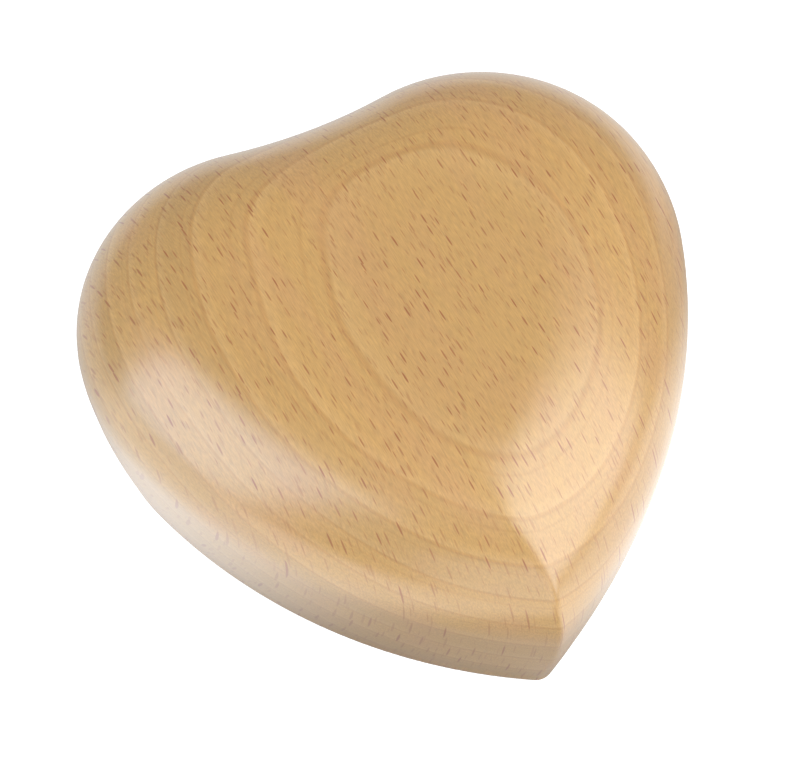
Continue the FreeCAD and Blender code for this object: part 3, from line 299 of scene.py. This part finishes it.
# The arbors, the worm, the click post and all screws are turned steel, and the screws hold the rest together.
# They have a thin bright zinc plating, which is a little cloudy and blue.
PLATED_LIGHT = "#d5d8da"
PLATED_DARK = "#b3b8bd"
PLATED_ROUGHNESS = 0.3
PLATED_MARKS = (0.6, 0.6, 0.6)
dress(["base_plate_screws", "movement_screws", "bridge_screws", "comb_screws", "governor_screws",
       "winding_arbor", "cylinder_arbor", "first_governor_arbor", "second_governor_arbor", "worm",
       "click_post"],
      worked_skin("zinc_plated_steel", PLATED_LIGHT, PLATED_DARK, PLATED_ROUGHNESS, PLATED_MARKS))

# The cover is a disc of birch plywood, let into the round recess of the underside and held by screws.
# It is sanded but left bare, so it is pale and matt.
# Its face veneer is peeled from the log, so long wavy grain runs across it.
PLY_PALE = "#dcc397"
PLY_GRAIN = "#c4a06c"
PLY_STOPS = [(0.35, PLY_GRAIN), (0.62, PLY_PALE)]
PLY_STREAK = (14.0, 0.9, 0.9)
PLY_ROUGHNESS = 0.62
PLY_IOR = 1.5
PLY_BUMP = 0.15
PLY_DEPTH = 0.0002


def bare_birch():
    """Peeled birch veneer: pale, matt, with long soft streaks."""
    material, tree = new_material("bare_birch_plywood")
    coords = add(tree, "ShaderNodeTexCoord")
    place = add(tree, "ShaderNodeMapping", {"Scale": [MM / s for s in PLY_STREAK]},
                {"Vector": coords.outputs["Object"]})
    streak = add(tree, "ShaderNodeTexNoise",
                 {"Scale": 1.0, "Detail": 4.0, "Roughness": 0.6, "Distortion": 0.6},
                 {"Vector": place.outputs[0]})
    tone = add(tree, "ShaderNodeValToRGB", {}, {"Fac": streak.outputs["Fac"]})
    for stop, (position, colour) in zip(tone.color_ramp.elements, PLY_STOPS):
        stop.position = position
        stop.color = linear(colour)
    bump = add(tree, "ShaderNodeBump", {"Strength": PLY_BUMP, "Distance": PLY_DEPTH},
               {"Height": streak.outputs["Fac"]})
    surface = add(tree, "ShaderNodeBsdfPrincipled", {"Roughness": PLY_ROUGHNESS, "IOR": PLY_IOR},
                  {"Base Color": tone.outputs[0], "Normal": bump.outputs[0]})
    add(tree, "ShaderNodeOutputMaterial", {}, {"Surface": surface.outputs[0]})
    return material


dress(["base_plate"], bare_birch())

# The butterfly key is brass: a stamped wing and a turned hub that screws on to the winding arbor.
# It is polished with long fine strokes, so it is brighter and glossier than the wheels inside.
KEY_LIGHT = "#e3c27a"
KEY_DARK = "#c9a254"
KEY_ROUGHNESS = 0.24
KEY_STROKES = (2.5, 0.4, 0.25)
dress(["winding_key"], worked_skin("polished_brass", KEY_LIGHT, KEY_DARK, KEY_ROUGHNESS, KEY_STROKES))

# The stage is a sweep of matt white paper, white where the camera sees it and still open to soft shadow.
# Two painted pools of light on it, in front to the left and right, glow only in reflections and so paint a
# pale sheen on the lacquered walls.
# A fainter painted pool behind the box paints the same reflection on the far rim. All fade out with distance.
FLOOR_HALF = 4.0
FLOOR_GAP = 0.0001
# The glow makes the paper white to the camera. Its own tone is grey, to throw less light back at the walls.
PAPER_GLOW = 0.95
PAPER_TONE = "#a9a9a9"
PAPER_ROUGHNESS = 0.9
# These place, size and brighten the painted pools: glow that only reflections see, standing in for lit paper
# mirrored in the lacquer.
PAINTED_POOL_SHIFT = -0.011
PAINTED_POOL_SPAN = (0.012, 0.05)
PAINTED_POOL_GLOW = 0.98
PAINTED_POOL_SLANT = (0.28, 1.0, 0.0)
PAINTED_POOL_BACK = (0.035, -0.01)
PAINTED_POOL_FADE = (0.26, 0.6)
PAINTED_REAR_SPAN = (0.02, 0.06)
PAINTED_REAR_GLOW = 0.36


def white_sweep():
    """Matt white paper, bright to the camera, with painted pools of light that only gloss reflects."""
    material, tree = new_material("white_paper")
    path = add(tree, "ShaderNodeLightPath")
    seen = add(tree, "ShaderNodeMath", {},
               {0: path.outputs["Is Camera Ray"], 1: path.outputs["Is Transmission Ray"]},
               operation="MAXIMUM")
    coords = add(tree, "ShaderNodeTexCoord")
    spot = coords.outputs["Object"]
    parts = add(tree, "ShaderNodeSeparateXYZ", {}, {0: spot})
    shifted = add(tree, "ShaderNodeMath", {1: PAINTED_POOL_SHIFT}, {0: parts.outputs["X"]}, operation="SUBTRACT")
    aside = add(tree, "ShaderNodeMath", {}, {0: shifted.outputs[0]}, operation="ABSOLUTE")
    slanted = add(tree, "ShaderNodeVectorMath", {1: PAINTED_POOL_SLANT}, {0: spot}, operation="DOT_PRODUCT")
    away = add(tree, "ShaderNodeVectorMath", {}, {0: spot}, operation="LENGTH")
    fades = [
        (aside.outputs[0], PAINTED_POOL_SPAN, (0.0, PAINTED_POOL_GLOW)),
        (slanted.outputs["Value"], PAINTED_POOL_BACK, (0.0, 1.0)),
        (parts.outputs["Y"], PAINTED_REAR_SPAN, (0.0, PAINTED_REAR_GLOW)),
        (away.outputs["Value"], PAINTED_POOL_FADE, (1.0, 0.0)),
    ]
    side, fore, rear, near = [
        add(tree, "ShaderNodeMapRange",
            {"From Min": span[0], "From Max": span[1], "To Min": ends[0], "To Max": ends[1]},
            {"Value": value}, interpolation_type="SMOOTHSTEP").outputs[0]
        for value, span, ends in fades]
    # Painted pools of light: emission that glossy rays alone see, which paints a pale reflection on the
    # lacquered walls.
    painted_pool = add(tree, "ShaderNodeMath", {}, {0: side, 1: fore, 2: rear}, operation="MULTIPLY_ADD")
    painted_pool = add(tree, "ShaderNodeMath", {}, {0: painted_pool.outputs[0], 1: near}, operation="MULTIPLY")
    mirrored = add(tree, "ShaderNodeMath", {},
                   {0: path.outputs["Is Glossy Ray"], 1: painted_pool.outputs[0]}, operation="MULTIPLY")
    glow = add(tree, "ShaderNodeMath", {1: PAPER_GLOW},
               {0: seen.outputs[0], 2: mirrored.outputs[0]}, operation="MULTIPLY_ADD")
    surface = add(tree, "ShaderNodeBsdfPrincipled",
                  {"Base Color": linear(PAPER_TONE), "Roughness": PAPER_ROUGHNESS,
                   "Emission Color": linear("#ffffff")},
                  {"Emission Strength": glow.outputs[0]})
    add(tree, "ShaderNodeOutputMaterial", {}, {"Surface": surface.outputs[0]})
    return material


floor_mesh = bpy.data.meshes.new("floor")
sheet = bmesh.new()
bmesh.ops.create_grid(sheet, x_segments=1, y_segments=1, size=FLOOR_HALF)
sheet.to_mesh(floor_mesh)
sheet.free()
floor = bpy.data.objects.new("floor", floor_mesh)
floor.location.z = -FLOOR_GAP
bpy.context.scene.collection.objects.link(floor)
floor_mesh.materials.append(white_sweep())

# The light is that of a tent: broad softboxes to the left and right of the box, and a low fill in front.
# The left one is a little cool, which keeps its highlight on the yellow wood from turning orange.
# The cloth of the tent is white to the camera, and weaker where it lights the box or mirrors in its lacquer.
# Each has its name, its place, its width and height in metres, its power in watts and its colour.
SOFTBOXES = [
    ("left_softbox", (-0.61, 0.03, 0.36), 0.48, 0.78, 2.5, "#dcebff"),
    ("right_softbox", (0.418, -0.327, 0.55), 0.85, 1.25, 6.5, "#fffdf9"),
    ("front_fill", (-0.25, -0.85, 0.28), 1.0, 0.6, 1.9, "#ffffff"),
]
LAMP_AIM = Vector((0, 0, 0.02))
TENT_FILL = 0.7
TENT_MIRRORED = 0.45
for name, spot, width, height, power, colour in SOFTBOXES:
    lamp = bpy.data.lights.new(name, "AREA")
    lamp.shape = "RECTANGLE"
    lamp.size = width
    lamp.size_y = height
    lamp.energy = power
    lamp.color = linear(colour)[:3]
    holder = bpy.data.objects.new(name, lamp)
    holder.location = spot
    holder.rotation_euler = (LAMP_AIM - Vector(spot)).to_track_quat("-Z", "Y").to_euler()
    bpy.context.scene.collection.objects.link(holder)

world = bpy.data.worlds.new("tent")
world.use_nodes = True
bpy.context.scene.world = world
sky = world.node_tree
sky.nodes.clear()
path = add(sky, "ShaderNodeLightPath")
seen = add(sky, "ShaderNodeMath", {},
           {0: path.outputs["Is Camera Ray"], 1: path.outputs["Is Transmission Ray"]}, operation="MAXIMUM")
mirrored = add(sky, "ShaderNodeMath", {1: TENT_MIRRORED - TENT_FILL, 2: TENT_FILL},
               {0: path.outputs["Is Glossy Ray"]}, operation="MULTIPLY_ADD")
strength = add(sky, "ShaderNodeMath", {}, {0: seen.outputs[0], 1: mirrored.outputs[0]}, operation="MAXIMUM")
air = add(sky, "ShaderNodeBackground", {"Color": linear("#ffffff")}, {"Strength": strength.outputs[0]})
add(sky, "ShaderNodeOutputWorld", {}, {"Surface": air.outputs[0]})

# The camera stands in front of the left flank and looks down at about sixty degrees with a long lens.
# Its angles and distance follow from the outline of the heart, and the shift sets the heart in the frame.
AZIMUTH = math.radians(-24.37)
ELEVATION = math.radians(59.71)
DISTANCE = 0.731
TARGET = Vector((0, 0.0053, 0.023))
SENSOR = 36.0
IMAGE_WIDTH = 800
PIXELS_PER_MM = 5.96
LENS_SHIFT = (-0.0162, -0.0173)
back = Vector((math.sin(AZIMUTH) * math.cos(ELEVATION), -math.cos(AZIMUTH) * math.cos(ELEVATION),
               math.sin(ELEVATION)))
camera_data = bpy.data.cameras.new("camera")
camera_data.sensor_width = SENSOR
camera_data.lens = PIXELS_PER_MM * MM * DISTANCE / IMAGE_WIDTH * SENSOR
camera_data.shift_x = LENS_SHIFT[0]
camera_data.shift_y = LENS_SHIFT[1]
camera = bpy.data.objects.new("camera", camera_data)
camera.location = TARGET + back * DISTANCE
camera.rotation_euler = Euler((math.pi / 2 - ELEVATION, 0, AZIMUTH), "XYZ")
bpy.context.scene.collection.objects.link(camera)
bpy.context.scene.camera = camera
bpy.context.scene.view_settings.view_transform = "Standard"
